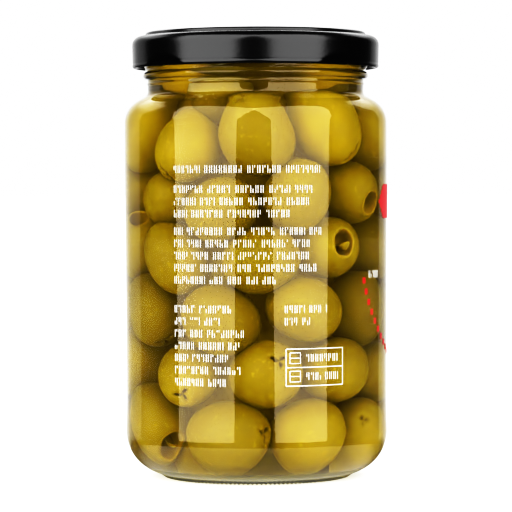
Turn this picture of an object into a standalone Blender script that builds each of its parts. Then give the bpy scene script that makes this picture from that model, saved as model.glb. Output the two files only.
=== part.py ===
# Shut glass jar of pitted green olives in brine, with a twist-off metal lid.
# Sizes below are in millimetres; the meshes are made in metres, +Z up.
# The origin is the centre of the foot, on the surface that the jar stands on. The label side faces -Y.
# An azimuth is in degrees about +Z from the label side, positive towards +X.

import math

import bmesh
import bpy
import numpy as np
from mathutils import Matrix, Vector

METRES = 0.001
UP = np.array([0.0, 0.0, 1.0])
SIDES = 40
GAP = 0.4

# Glass jar
FOOT_INNER = 23.5
FOOT_OUTER = 25.2
PUSH_UP = 2.0
HEEL_HEIGHT = 12.5
HEEL_RADIUS = 35.64
HEEL_CURVE = (12.4, 11.9)
PANEL_RADIUS = 35.45
PANEL_BOTTOM = 26.1
PANEL_TOP = 86.7
BODY_RADIUS = 35.75
SHOULDER_BASE = 96.3
SHOULDER_ARC = 7.0
SHOULDER_TURN = 62.0
NECK_RADIUS = 29.4
NECK_FILLET = 2.6
BEAD_HEIGHT = 108.75
BEAD_RADIUS = 30.7
BEAD_HALF_HEIGHT = 1.6
FINISH_RADIUS = 30.0
FINISH_BASE = 110.8
RIM_HEIGHT = 117.9
WALL = 2.3
BORE_RADIUS = 26.5
BORE_FILLET = 2.1
INNER_HEEL_CURVE = (10.3, 10.0)
FLOOR_HEIGHT = 3.0
FLOOR_CROWN = 1.2

# Screw threads on the neck: short sloping ridges, one for each lug of the lid
THREADS = 4
THREAD_START = -18.5
THREAD_SPAN = 66.0
THREAD_LOW = 111.4
THREAD_RISE = 3.2
THREAD_LIFT = 0.75
THREAD_WIDTH = 0.9

# Lid
LID_TOP = 121.05
LID_RADIUS = 33.65
LID_HEM = 111.2
LID_PANEL = 30.0
BUTTON_RADIUS = 11.0
BUTTON_SLOPE = 2.5
BUTTON_DEPTH = 0.7
LID_GROOVE = 119.9
LID_CORNER = 2.4
LID_METAL = 0.55
CURL_DEPTH = 1.3
LUG_AZIMUTH = 42.6
LUG_HALF_WIDTH = 13.0
LUG_PRESS = 1.1
LUG_HEIGHT = 2.6

# Olives: the shown ones, chosen by hand from the label side, and one in the middle of the floor. Each row gives
# the azimuth and height of the centre, how far the olive stands off the glass, half its length, half its width,
# and the direction of its long axis: lean is clockwise from upright as seen from outside, tip is outwards. The
# last word is what the end that the axis points to has: a punched hole, or none.
SHOWN_OLIVES = (
    (-42.5, 88.6, 0.0, 9.7, 8.4, -162, 22, "plain"),
    (1.0, 92.3, 0.0, 10.8, 9.2, -26, 8, "plain"),
    (46.0, 94.6, 1.2, 10.5, 8.8, 152, 26, "plain"),
    (-84.0, 91.5, 0.0, 9.8, 8.6, 40, -7, "plain"),
    (86.0, 92.5, 0.0, 9.7, 8.6, 0, 0, "plain"),
    (-54.0, 75.8, 1.5, 9.6, 7.6, 75, 50, "plain"),
    (-21.0, 72.6, 0.0, 9.5, 8.5, 60, 0, "plain"),
    (24.0, 77.2, 0.0, 10.0, 8.4, 15, 0, "plain"),
    (63.0, 77.2, 0.0, 9.8, 8.3, 175, 72, "hole"),
    (46.0, 63.4, 0.0, 9.8, 8.2, -43, 78, "hole"),
    (3.0, 59.0, 0.0, 10.0, 8.8, 65, 0, "plain"),
    (-52.0, 60.9, 0.0, 10.6, 8.0, -35, 0, "plain"),
    (-30.0, 55.5, 9.0, 9.4, 7.8, 10, 0, "plain"),
    (-75.0, 45.7, 0.0, 10.5, 8.6, 155, -4, "plain"),
    (-20.5, 44.2, 0.0, 10.3, 9.2, -50, 0, "plain"),
    (5.0, 30.2, 0.0, 9.8, 9.0, 35, 58, "plain"),
    (27.0, 47.6, 0.0, 10.0, 8.5, -68, 0, "plain"),
    (71.0, 46.4, 0.0, 10.5, 8.6, 0, 0, "plain"),
    (52.5, 30.2, 0.0, 9.8, 8.7, 80, 0, "plain"),
    (-43.0, 28.7, 0.0, 9.4, 7.9, 146, 50, "plain"),
    (-94.0, 31.0, 0.0, 10.0, 8.6, 20, 0, "plain"),
    (-70.5, 17.0, 0.0, 10.6, 8.6, 128, 0, "hole"),
    (-47.0, 9.6, 9.0, 8.0, 6.6, 60, 0, "plain"),
    (-19.0, 13.2, 0.0, 11.0, 8.9, 87, 14, "plain"),
    (32.5, 14.3, 0.0, 9.9, 8.8, 73, 18, "plain"),
    (73.0, 13.8, 0.0, 9.8, 8.6, -68, 18, "plain"),
    (-26.0, 100.5, 8.0, 8.6, 7.6, 60, 0, "plain"),
    (160.0, 12.6, 24.0, 9.8, 8.6, 90, 0, "plain"),
)
FILL_HEIGHT = 114.5
LOOSE_OLIVES = 26
LOOSE_SEED = 4
LOOSE_START_RADIUS = 23.7
SETTLE_ROUNDS = 300
SPRING_BACK = 0.35
WALL_POINT_STEP = 1.5
OLIVE_LENGTHS = (9.5, 10.7)
OLIVE_WIDTHS = (8.2, 9.2)
OLIVE_SIDES = 10
OLIVE_STEPS = 6
HOLE_RADIUS = 2.9
HOLE_DEPTH = 5.0

# The heap's bare core, which the olives are fused to and keep their centres clear of
CORE_RADIUS = 19.0
CORE_CLEARANCE = 2.0
CORE_BOTTOM = 8.0
CORE_SHOULDER = 94.0
CORE_TOP = 107.5
CORE_SIDES = 20

COLOURS = {
    "glass_jar": ((0.90, 0.94, 0.92), 0.05, 0.0),
    "lid": ((0.012, 0.012, 0.013), 0.22, 0.3),
    "olives": ((0.42, 0.30, 0.02), 0.35, 0.0),
}


def arc(centre, radii, start, end, steps):
    """Points on an ellipse about centre, from one angle to another, in degrees up from straight out."""
    turns = np.radians(np.linspace(start, end, steps + 1))
    return [(centre[0] + radii[0] * math.cos(t), centre[1] + radii[1] * math.sin(t)) for t in turns]


def shoulder(radius, corner, neck, fillet, steps):
    """The shoulder's line: a round corner on the body, a straight slope and a fillet into the neck."""
    turn = math.radians(SHOULDER_TURN)
    line = arc((radius - corner, SHOULDER_BASE), (corner, corner), 0, SHOULDER_TURN, steps)
    end_radius, end_height = line[-1]
    foot_radius = neck + fillet * (1 - math.cos(turn))
    foot_height = end_height + (end_radius - foot_radius) / math.tan(turn)
    centre = (neck + fillet, foot_height + fillet * math.sin(turn))
    return line + arc(centre, (fillet, fillet), 180 + SHOULDER_TURN, 180, max(2, steps // 2))


def outer_glass():
    """The jar's outside, from the middle of the push-up to the rim."""
    heel = arc((HEEL_RADIUS - HEEL_CURVE[0], HEEL_HEIGHT), HEEL_CURVE, -75, 0, 6)
    bead_curve = (BEAD_RADIUS - NECK_RADIUS - 0.1, BEAD_HALF_HEIGHT)
    bead = arc((NECK_RADIUS + 0.1, BEAD_HEIGHT), bead_curve, -90, 90, 5)
    finish = [(FINISH_RADIUS, height) for height in np.linspace(FINISH_BASE, RIM_HEIGHT - 1, 7)]
    return (
        [(0, PUSH_UP), (FOOT_INNER - 3, PUSH_UP * 0.8), (FOOT_INNER, 0), (FOOT_OUTER, 0)]
        + heel
        + [(PANEL_RADIUS, HEEL_HEIGHT + 8), (PANEL_RADIUS, PANEL_BOTTOM), (BODY_RADIUS, PANEL_TOP)]
        + shoulder(BODY_RADIUS, SHOULDER_ARC, NECK_RADIUS, NECK_FILLET, 5)
        + bead
        + finish
        + [(FINISH_RADIUS - 0.8, RIM_HEIGHT)]
    )


def inner_glass():
    """The jar's inside, from the rim to the middle of the floor."""
    inner = BODY_RADIUS - WALL
    heel_centre = (inner - INNER_HEEL_CURVE[0], FLOOR_HEIGHT + INNER_HEEL_CURVE[1])
    heel = arc(heel_centre, INNER_HEEL_CURVE, 0, -90, 6)
    return (
        [(BORE_RADIUS + 0.8, RIM_HEIGHT), (BORE_RADIUS, RIM_HEIGHT - 1)]
        + shoulder(inner, SHOULDER_ARC - WALL, BORE_RADIUS, BORE_FILLET, 4)[::-1]
        + heel
        + [(10, FLOOR_HEIGHT + FLOOR_CROWN * 0.8), (0, FLOOR_HEIGHT + FLOOR_CROWN)]
    )


def lid_outline():
    """The lid's section: the outside from its sunken button to the curled hem, then back up the inside."""
    corner = (LID_RADIUS - LID_CORNER, LID_GROOVE - LID_CORNER)
    inside = LID_RADIUS - LID_METAL
    curl_middle = (LID_RADIUS - CURL_DEPTH / 2, LID_HEM + CURL_DEPTH / 2)
    liner = RIM_HEIGHT + GAP
    button = [(0, LID_TOP - BUTTON_DEPTH), (BUTTON_RADIUS, LID_TOP - BUTTON_DEPTH)]
    button += [(BUTTON_RADIUS + BUTTON_SLOPE, LID_TOP)]
    panel_edge = [(LID_PANEL - 0.9, LID_TOP), (LID_PANEL, LID_TOP - 0.6), (LID_PANEL + 0.5, LID_GROOVE)]
    return (
        button
        + panel_edge
        + arc(corner, (LID_CORNER, LID_CORNER), 78, 0, 4)
        + [(LID_RADIUS - 0.1, LID_HEM + LUG_HEIGHT), (LID_RADIUS - 0.15, LID_HEM + CURL_DEPTH)]
        + arc(curl_middle, (CURL_DEPTH / 2, CURL_DEPTH / 2), -10, -180, 3)
        + [(inside - 0.6, LID_HEM + CURL_DEPTH), (inside, LID_HEM + LUG_HEIGHT)]
        + [(inside, corner[1]), (LID_PANEL + 1.2, LID_GROOVE - 0.7), (LID_PANEL + 0.6, liner)]
        + [(BORE_RADIUS, liner), (BORE_RADIUS - 0.6, LID_TOP - LID_METAL)]
        + [(radius, height - LID_METAL) for radius, height in button[::-1]]
    )


def thread_lift(azimuth, height):
    """How far the neck stands out for its threads at a place, fading at both ends of each ridge."""
    along = ((azimuth - THREAD_START) % (360 / THREADS)) / THREAD_SPAN
    if along > 1:
        return 0.0
    middle = THREAD_LOW + THREAD_RISE * along
    fade = min(1.0, 8 * along, 8 * (1 - along))
    return THREAD_LIFT * fade * math.exp(-(((height - middle) / THREAD_WIDTH) ** 2))


def lug_press(azimuth, height):
    """How far the lid's hem is pressed in for its lugs at a place, under an arched edge."""
    off = (azimuth - LUG_AZIMUTH + 180 / THREADS) % (360 / THREADS) - 180 / THREADS
    across = 1 - (off / LUG_HALF_WIDTH) ** 2
    above = (height - LID_HEM) / LUG_HEIGHT
    if across <= 0 or above >= across:
        return 0.0
    return -LUG_PRESS * math.sqrt(across)


def material(name):
    """A Principled material with the part's colour, roughness and metallic value."""
    colour, roughness, metallic = COLOURS[name]
    made = bpy.data.materials.new(name)
    made.use_nodes = True
    shader = made.node_tree.nodes["Principled BSDF"]
    shader.inputs["Base Color"].default_value = (*colour, 1)
    shader.inputs["Roughness"].default_value = roughness
    shader.inputs["Metallic"].default_value = metallic
    if name == "glass_jar":
        shader.inputs["Transmission Weight"].default_value = 1
        shader.inputs["IOR"].default_value = 1.52
    return made


def turned_mesh(name, outline, sides):
    """A closed mesh made by turning an outline that starts and ends on the axis."""
    shape = bmesh.new()
    points = [shape.verts.new((radius, 0, height)) for radius, height in outline]
    for first, second in zip(points, points[1:]):
        shape.edges.new((first, second))
    line = shape.verts[:] + shape.edges[:]
    bmesh.ops.spin(shape, geom=line, axis=(0, 0, 1), cent=(0, 0, 0), angle=math.tau, steps=sides)
    bmesh.ops.remove_doubles(shape, verts=shape.verts, dist=0.001)
    bmesh.ops.recalc_face_normals(shape, faces=shape.faces)
    mesh = bpy.data.meshes.new(name)
    shape.to_mesh(mesh)
    shape.free()
    return mesh


def push_radially(mesh, push):
    """Moves each outer point of a turned mesh away from the axis by push(azimuth, height)."""
    for vertex in mesh.vertices:
        radius = math.hypot(vertex.co.x, vertex.co.y)
        azimuth = math.degrees(math.atan2(vertex.co.x, -vertex.co.y))
        if radius > BORE_RADIUS + 1:
            vertex.co.xy *= 1 + push(azimuth, vertex.co.z) / radius


def add_object(name, mesh):
    """The finished object of a mesh in millimetres: scaled to metres, shaded round, with its material."""
    mesh.transform(Matrix.Scale(METRES, 4))
    mesh.shade_smooth()
    mesh.set_sharp_from_angle(angle=math.radians(35))
    mesh.materials.clear()
    mesh.materials.append(material(name))
    made = bpy.data.objects.new(name, mesh)
    bpy.context.scene.collection.objects.link(made)
    return made


def make_glass_jar():
    mesh = turned_mesh("glass_jar", outer_glass() + inner_glass(), SIDES)
    push_radially(mesh, thread_lift)
    add_object("glass_jar", mesh)


def make_lid():
    mesh = turned_mesh("lid", lid_outline(), SIDES)
    push_radially(mesh, lug_press)
    add_object("lid", mesh)


def outward_and_right(azimuth):
    """The level unit vectors away from the axis and to the right, as seen from outside, in rows."""
    flat = np.zeros_like(azimuth)
    outward = np.stack([np.sin(azimuth), -np.cos(azimuth), flat], -1)
    right = np.stack([np.cos(azimuth), np.sin(azimuth), flat], -1)
    return outward, right


def reach(axis, length, width, direction):
    """How far an olive reaches from its centre towards a direction."""
    along = (axis * direction).sum(-1)
    return np.sqrt((length * along) ** 2 + width**2 * (1 - along**2))


def free_space():
    """Points, as radius and height, all along the inside of the jar and under the fill level."""
    line = np.array([(0, FILL_HEIGHT), (BORE_RADIUS, FILL_HEIGHT)] + inner_glass()[2:])
    along = np.concatenate([[0], np.hypot(*np.diff(line, axis=0).T).cumsum()])
    at = np.arange(0, along[-1], WALL_POINT_STEP)
    return np.stack([np.interp(at, along, line[:, 0]), np.interp(at, along, line[:, 1])], -1)


def shown_olives():
    """Centres, axes, half lengths and half widths of the olives that were placed by hand."""
    rows = np.array([row[:7] for row in SHOWN_OLIVES])
    outward, right = outward_and_right(np.radians(rows[:, 0]))
    lean, tip = np.radians(rows[:, 5:6]), np.radians(rows[:, 6:7])
    axis = np.cos(tip) * (np.cos(lean) * UP + np.sin(lean) * right) + np.sin(tip) * outward
    length, width = rows[:, 3], rows[:, 4]
    from_axis = BODY_RADIUS - WALL - GAP - rows[:, 2] - reach(axis, length, width, outward)
    return outward * from_axis[:, None] + UP * rows[:, 1:2], axis, length, width


def loose_olives():
    """The same for the rest, which start spread up the far side of the jar, turned at random."""
    draw = np.random.default_rng(LOOSE_SEED)
    azimuth = draw.uniform(math.pi / 2, math.pi * 3 / 2, LOOSE_OLIVES)
    height = np.linspace(FLOOR_HEIGHT + 7, FILL_HEIGHT - 8, LOOSE_OLIVES)
    axis = draw.normal(size=(LOOSE_OLIVES, 3))
    axis /= np.linalg.norm(axis, axis=-1, keepdims=True)
    length = draw.uniform(*OLIVE_LENGTHS, LOOSE_OLIVES)
    width = draw.uniform(*OLIVE_WIDTHS, LOOSE_OLIVES)
    start = outward_and_right(azimuth)[0] * LOOSE_START_RADIUS + UP * height[:, None]
    return start, axis, length, width


def settled_olives():
    """All olives, pushed apart and in from the glass until they about touch. The shown ones spring back."""
    centre, axis, length, width = (np.concatenate(pair) for pair in zip(shown_olives(), loose_olives()))
    wall = free_space()
    shown = np.arange(len(centre)) < len(SHOWN_OLIVES)
    target = centre.copy()
    each = np.arange(len(centre))
    for _ in range(SETTLE_ROUNDS):
        away = centre[:, None] - centre[None]
        apart = np.linalg.norm(away, axis=-1) + np.eye(len(centre)) * BODY_RADIUS * 10
        away /= apart[..., None]
        touch = reach(axis[:, None], length[:, None], width[:, None], away)
        overlap = np.clip(touch + touch.T - apart, 0, None)
        centre = centre + 0.5 * (away * overlap[..., None]).sum(1)
        centre += SPRING_BACK * (target - centre) * shown[:, None]
        from_axis = np.hypot(centre[:, 0], centre[:, 1])
        outward = centre * (1, 1, 0) / from_axis[:, None]
        beside_core = ~shown & (centre[:, 2] < CORE_SHOULDER)
        too_deep = np.clip(CORE_RADIUS + CORE_CLEARANCE - from_axis, 0, None) * beside_core
        centre += outward * too_deep[:, None]
        across = wall[None, :, 0] - from_axis[:, None]
        up = wall[None, :, 1] - centre[:, 2:]
        distance = np.hypot(across, up)
        towards = outward[:, None] * (across / distance)[..., None] + UP * (up / distance)[..., None]
        short = reach(axis[:, None], length[:, None], width[:, None], towards) + GAP - distance
        worst = short.argmax(1)
        centre -= towards[each, worst] * np.clip(short[each, worst], 0, None)[:, None]
    return centre, axis, length, width


def olive_mesh(name, length, width, holed):
    """One olive along +Z, with a punched hole in its upper end where that shows."""
    end = math.degrees(math.acos(HOLE_RADIUS / width)) if holed else 90
    outline = arc((0, 0), (width, length), -90, end, OLIVE_STEPS)
    if holed:
        outline += [(HOLE_RADIUS * 0.8, length - HOLE_DEPTH), (0, length - HOLE_DEPTH)]
    return turned_mesh(name, outline, OLIVE_SIDES)


def fused(base, pieces):
    """A mesh of the base with all the pieces joined to it, whose objects are then removed."""
    group = bpy.data.collections.new("pieces")
    bpy.context.scene.collection.children.link(group)
    for piece in pieces:
        group.objects.link(piece)
    union = base.modifiers.new("union", "BOOLEAN")
    union.operation = "UNION"
    union.operand_type = "COLLECTION"
    union.solver = "MANIFOLD"
    union.collection = group
    mesh = bpy.data.meshes.new_from_object(base.evaluated_get(bpy.context.evaluated_depsgraph_get()))
    for piece in [base, *pieces]:
        bpy.data.objects.remove(piece)
    bpy.data.collections.remove(group)
    return mesh


def keep_largest_shell(mesh):
    """Removes loose scraps and sealed hollows, all but the shell with the most points."""
    shape = bmesh.new()
    shape.from_mesh(mesh)
    left = set(shape.verts)
    shells = []
    while left:
        shell, front = set(), [next(iter(left))]
        while front:
            vertex = front.pop()
            if vertex not in shell:
                shell.add(vertex)
                front += [edge.other_vert(vertex) for edge in vertex.link_edges]
        left -= shell
        shells.append(shell)
    largest = max(shells, key=len)
    bmesh.ops.delete(shape, geom=[v for v in shape.verts if v not in largest], context="VERTS")
    bmesh.ops.triangulate(shape, faces=shape.faces)
    shape.to_mesh(mesh)
    shape.free()


def make_olives():
    core_line = [(0, CORE_BOTTOM), (CORE_RADIUS * 0.8, CORE_BOTTOM), (CORE_RADIUS, CORE_BOTTOM + 5)]
    core_line += [(CORE_RADIUS, CORE_SHOULDER), (CORE_RADIUS * 0.7, CORE_TOP - 4), (0, CORE_TOP)]
    core = bpy.data.objects.new("core", turned_mesh("core", core_line, CORE_SIDES))
    bpy.context.scene.collection.objects.link(core)
    ends = [row[7] for row in SHOWN_OLIVES] + ["plain"] * LOOSE_OLIVES
    pieces = []
    for place, axis, length, width, end in zip(*settled_olives(), ends):
        mesh = olive_mesh("olive", length, width, end == "hole")
        turn = Vector((0, 0, 1)).rotation_difference(Vector(axis)).to_matrix().to_4x4()
        mesh.transform(Matrix.Translation(place) @ turn)
        pieces.append(bpy.data.objects.new("olive", mesh))
    mesh = fused(core, pieces)
    keep_largest_shell(mesh)
    add_object("olives", mesh)


def main():
    for old in list(bpy.data.objects):
        bpy.data.objects.remove(old)
    make_glass_jar()
    make_lid()
    make_olives()


main()
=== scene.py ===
# A shut glass jar of pitted green olives in brine, with a black twist-off lid, in a plain bright studio.
# Sizes are in millimetres unless a name says otherwise, and every mesh is made in metres.
# An azimuth is in degrees about +Z from the label side, which faces -Y, and grows towards +X.
# The jar, lid, brine and core are lines of points (radius, height) that are turned about the upright axis.

import math

import bpy
import numpy as np
from mathutils import Matrix, Vector


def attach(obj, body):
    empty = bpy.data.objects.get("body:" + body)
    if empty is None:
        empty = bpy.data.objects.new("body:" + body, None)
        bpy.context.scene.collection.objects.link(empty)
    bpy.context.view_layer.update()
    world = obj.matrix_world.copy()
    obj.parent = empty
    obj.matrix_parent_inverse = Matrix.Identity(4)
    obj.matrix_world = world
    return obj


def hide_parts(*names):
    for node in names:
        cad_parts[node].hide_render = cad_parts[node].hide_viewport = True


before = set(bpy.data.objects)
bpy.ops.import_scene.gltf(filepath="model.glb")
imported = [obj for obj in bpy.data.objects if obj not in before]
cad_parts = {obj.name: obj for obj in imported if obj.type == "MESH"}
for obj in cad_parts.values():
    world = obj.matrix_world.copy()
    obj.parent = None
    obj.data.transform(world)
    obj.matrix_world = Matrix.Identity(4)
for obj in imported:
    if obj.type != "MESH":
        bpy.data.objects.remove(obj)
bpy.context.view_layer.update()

mm = 0.001
up = np.array([0.0, 0.0, 1.0])


# Shapes

def arcPoints(centre, radii, start, end, steps):
    # Points on an ellipse about centre, between two angles in degrees up from straight out
    turn = np.radians(np.linspace(start, end, steps + 1))
    return np.stack([centre[0] + radii[0] * np.cos(turn), centre[1] + radii[1] * np.sin(turn)], -1)


def straight(first, last, steps):
    # Evenly spaced points from first to last
    return np.linspace(first, last, steps + 1)


def join(*parts):
    return np.concatenate([np.atleast_2d(np.asarray(part, float)) for part in parts])


def turned(line, sides):
    # One ring of points for each point (radius, height) of the line, turned about the upright axis
    azimuth = np.linspace(0, 360, sides, endpoint=False)
    around = np.radians(azimuth)
    radius, height = line[:, :1], line[:, 1:]
    rings = np.stack([radius * np.sin(around), -radius * np.cos(around), height + 0 * around], -1)
    return rings, azimuth[None], radius + 0 * azimuth, height + 0 * azimuth


def pushOut(rings, lift):
    # Moves ring points straight away from the upright axis by lift
    radius = np.hypot(rings[..., 0], rings[..., 1])
    rings[..., :2] *= (1 + lift / radius)[..., None]
    return rings


def skinFaces(rows, around, start):
    # Quads between neighbouring closed rings, and a fan of triangles at each end to the poles after them
    here = np.arange(around)
    after = (here + 1) % around
    row = start + np.arange(rows - 1)[:, None] * around
    quads = np.stack([row + here, row + after, row + around + after, row + around + here], -1)
    last = start + (rows - 1) * around
    firstPole, lastPole = start + rows * around, start + rows * around + 1
    fans = [np.stack([0 * here + firstPole, start + after, start + here], -1)]
    fans.append(np.stack([0 * here + lastPole, last + here, last + after], -1))
    return quads.reshape(-1, 4).tolist() + np.concatenate(fans).tolist()


def makePiece(name, points, faces, finish, slot, node=None, smooth=True):
    # A mesh piece at the origin, from points in millimetres, riding on the one body. Print throws no shadow.
    mesh = bpy.data.meshes.new(name)
    mesh.from_pydata((np.asarray(points) * mm).tolist(), [], faces)
    mesh.polygons.foreach_set("use_smooth", [smooth] * len(mesh.polygons))
    mesh.materials.append(finish)
    piece = bpy.data.objects.new(name, mesh)
    bpy.context.scene.collection.objects.link(piece)
    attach(piece, "root")
    piece.visible_shadow = not slot.startswith("print")
    if node:
        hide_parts(node)
    print(name, len(mesh.polygons), "faces")
    return piece


def makeSkin(name, rings, poles, finish, slot, node=None):
    rows, around = rings.shape[:2]
    points = np.concatenate([rings.reshape(-1, 3), np.asarray(poles, float)])
    return makePiece(name, points, skinFaces(rows, around, 0), finish, slot, node)


def smoothStep(value, low, high):
    share = np.clip((value - low) / (high - low), 0, 1)
    return share * share * (3 - 2 * share)


def bell(off, width):
    # A smooth bump, 1 in its middle and about a third at its width
    return np.exp(-((off / width) ** 2))


# Shader maths

class Value:
    # Wraps a socket, so that sums on it add Math nodes
    def __init__(self, shading, socket):
        self.shading = shading
        self.socket = socket

    def math(self, operation, *sockets):
        return self.shading.value("Math", {"operation": operation}, dict(enumerate(sockets)))

    def __add__(self, other):
        return self.math("ADD", self, other)

    def __radd__(self, other):
        return self.math("ADD", other, self)

    def __sub__(self, other):
        return self.math("SUBTRACT", self, other)

    def __rsub__(self, other):
        return self.math("SUBTRACT", other, self)

    def __mul__(self, other):
        return self.math("MULTIPLY", self, other)

    def __rmul__(self, other):
        return self.math("MULTIPLY", other, self)

    def __truediv__(self, other):
        return self.math("DIVIDE", self, other)

    def __gt__(self, other):
        return self.math("GREATER_THAN", self, other)

    def __lt__(self, other):
        return self.math("LESS_THAN", self, other)

    def most(self, other):
        # The larger of the two
        return self.math("MAXIMUM", self, other)

    def step(self, low, high):
        # From 0 at low to 1 at high, smoothly
        sockets = {"Value": self, "From Min": low, "From Max": high}
        return self.shading.value("MapRange", {"interpolation_type": "SMOOTHSTEP"}, sockets)


class Shading:
    # One node tree: every node comes from node(), which takes its type, its settings and its sockets
    def __init__(self, owner):
        owner.use_nodes = True
        self.tree = owner.node_tree
        self.tree.nodes.clear()

    def node(self, kind, settings=None, sockets=None):
        made = self.tree.nodes.new("ShaderNode" + kind)
        for name, setting in (settings or {}).items():
            setattr(made, name, setting)
        for name, given in (sockets or {}).items():
            given = given.socket if isinstance(given, Value) else given
            if isinstance(given, bpy.types.NodeSocket):
                self.tree.links.new(given, made.inputs[name])
            elif isinstance(given, tuple) and len(given) == 3 and made.inputs[name].type == "RGBA":
                made.inputs[name].default_value = (*given, 1)
            else:
                made.inputs[name].default_value = given
        return made

    def value(self, kind, settings=None, sockets=None, output=0):
        return Value(self, self.node(kind, settings, sockets).outputs[output])

    def mix(self, share, first, second):
        # Colour between first and second
        made = self.node("Mix", {"data_type": "RGBA"}, {0: share, 6: first, 7: second})
        return made.outputs[2]

    def noise(self, scale, detail=2.0):
        where = self.node("TexCoord").outputs["Object"]
        return self.value("TexNoise", {}, {"Vector": where, "Scale": scale, "Detail": detail})

    def bump(self, height, distance, strength=0.5):
        sockets = {"Height": height, "Distance": distance, "Strength": strength}
        return self.node("Bump", {}, sockets).outputs[0]

    def attribute(self, name):
        return self.value("Attribute", {"attribute_name": name}, {}, "Fac")

    def ray(self, kind):
        # 1 for a ray of that kind and 0 for any other
        return self.value("LightPath", {}, {}, f"Is {kind} Ray")

    def along(self, coordinates="Object"):
        # The three coordinates, which for Object are in metres
        where = self.node("TexCoord").outputs[coordinates]
        return [Value(self, part) for part in self.node("SeparateXYZ", {}, {0: where}).outputs]

    def finish(self, shader, kind="Material"):
        return self.node("Output" + kind, {}, {"Surface": shader.outputs[0]})


def newMaterial(name):
    material = bpy.data.materials.new(name)
    return material, Shading(material)


def clearFinish(name, look, shine, murk=None):
    # A clear solid. Light from a lamp, or from one matt surface to the next, goes straight through it, so what
    # it holds is lit. Murk is what a metre of it soaks up of red, green and blue, and its cloud.
    material, shading = newMaterial(name)
    body = shading.node("BsdfPrincipled", {}, {
        "Base Color": look["tint"], "Roughness": look["roughness"], "IOR": look["ior"],
        "Transmission Weight": 1.0, "Specular Tint": shine,
    })
    through = shading.node("BsdfTransparent", {}, {"Color": look["tint"]})
    lighting = shading.ray("Shadow").most(shading.ray("Diffuse"))
    shader = shading.node("MixShader", {}, {0: lighting, 1: body.outputs[0], 2: through.outputs[0]})
    output = shading.finish(shader)
    if murk:
        density = max(murk["soaked"])
        kept = tuple(1 - part / density for part in murk["soaked"])
        soaked = shading.node("VolumeAbsorption", {}, {"Color": kept, "Density": density})
        cloudy = shading.node("VolumeScatter", {}, {"Color": murk["cloud"], "Density": murk["cloudDensity"]})
        volume = shading.node("AddShader", {}, {0: soaked.outputs[0], 1: cloudy.outputs[0]})
        shading.tree.links.new(volume.outputs[0], output.inputs["Volume"])
    return material


# Glass jar

jar = {
    "sides": 396,
    "footInner": 23.5, "footOuter": 25.2, "footCurve": 0.45, "pushUp": 2.0, "pushUpRows": 8,
    "knurls": 132, "knurlDepth": 0.45, "knurlReach": 1.2, "knurlTop": 3.0,
    "heelHeight": 12.5, "heelRadius": 35.64, "heelCurve": (12.4, 11.9),
    "panelRadius": 35.45, "panelBottom": 26.1, "panelTop": 86.7, "bodyRadius": 35.75,
    "shoulderBase": 96.3, "shoulderArc": 7.0, "shoulderTurn": 62.0,
    "neckRadius": 29.4, "neckFillet": 1.7, "beadHeight": 109.2, "beadRadius": 30.7, "beadHalfHeight": 1.1,
    "ridges": (105.6, 106.9), "ridgeLift": 0.2, "ridgeWidth": 0.3,
    "finishRadius": 30.0, "finishBase": 110.8, "rimHeight": 117.9, "rimCurve": 0.8,
    "wall": 2.3, "boreRadius": 26.5, "boreFillet": 1.3, "innerHeelCurve": (10.3, 10.0),
    "floorHeight": 3.0, "floorCrown": 1.2,
    "threads": 4, "threadStart": -18.5, "threadSpan": 66.0, "threadLow": 111.4, "threadRise": 3.2,
    "threadLift": 0.75, "threadWidth": 0.9, "threadFade": 8,
    "seamAzimuth": 97.0, "seamLift": 0.07, "seamWidth": 0.5, "seamTop": 108.0, "plainBelow": 2.0,
    "filmStart": -40.0, "filmEnd": 258.0, "filmBottom": 24.6, "filmTop": 86.7, "filmLift": 0.02,
    "filmEdge": 0.7, "filmAskew": 2.4, "filmAskewFrom": 40.0, "filmAskewTo": 130.0,
}
glass = {"tint": (0.985, 0.995, 0.985), "ior": 1.52, "roughness": 0.0}
# The knurled foot's rough glass is tinted dark olive, which is painted shade on that band
shadedFootGlass = {"tint": (0.4, 0.37, 0.22), "ior": 1.52, "roughness": 0.4}
glassShine, footShine, noShine = (0.85, 0.74, 0.55), (0.6, 0.6, 0.5), (0.0, 0.0, 0.0)
gap = 0.4


def shoulderLine(radius, corner, neck, fillet, steps):
    # A round corner on the body, a straight slope and a fillet into the neck
    turn = math.radians(jar["shoulderTurn"])
    line = arcPoints((radius - corner, jar["shoulderBase"]), (corner, corner), 0, jar["shoulderTurn"], steps)
    footRadius = neck + fillet * (1 - math.cos(turn))
    footHeight = line[-1, 1] + (line[-1, 0] - footRadius) / math.tan(turn)
    centre = (neck + fillet, footHeight + fillet * math.sin(turn))
    return join(line, arcPoints(centre, (fillet, fillet), 180 + jar["shoulderTurn"], 180, max(2, steps // 2)))


def footLine():
    # From the middle of the push-up out and down to the foot ring, and up its outer edge
    inner, outer, push, curve = jar["footInner"], jar["footOuter"], jar["pushUp"], jar["footCurve"]
    return join(
        straight((1, push), (inner - 3, push * 0.8), jar["pushUpRows"]),
        arcPoints((inner - 3, push * 0.8 - 0.6), (1.4, 0.6), 80, 20, 4),
        arcPoints((inner, curve), (0.6, curve), 200, 270, 4),
        arcPoints((outer - 0.2, curve), (0.5, curve), 270, 330, 4),
    )


def sideLine():
    # The heel, the sunken panel, with closer points at the film's edges, and the shoulder
    heelCentre = (jar["heelRadius"] - jar["heelCurve"][0], jar["heelHeight"])
    panel, body, bottom, top = jar["panelRadius"], jar["bodyRadius"], jar["filmBottom"], jar["filmTop"]
    return join(
        arcPoints(heelCentre, jar["heelCurve"], -73, 0, 28),
        straight((panel, jar["heelHeight"] + 8), (panel, bottom - 1), 4),
        straight((panel, bottom - 0.6), (panel, bottom + 5), 16),
        straight((panel, bottom + 6), (body, top - 0.8), 12),
        straight((body, top - 0.3), (body, top + 0.3), 3),
        shoulderLine(body, jar["shoulderArc"], jar["neckRadius"], jar["neckFillet"], 24),
    )


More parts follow.
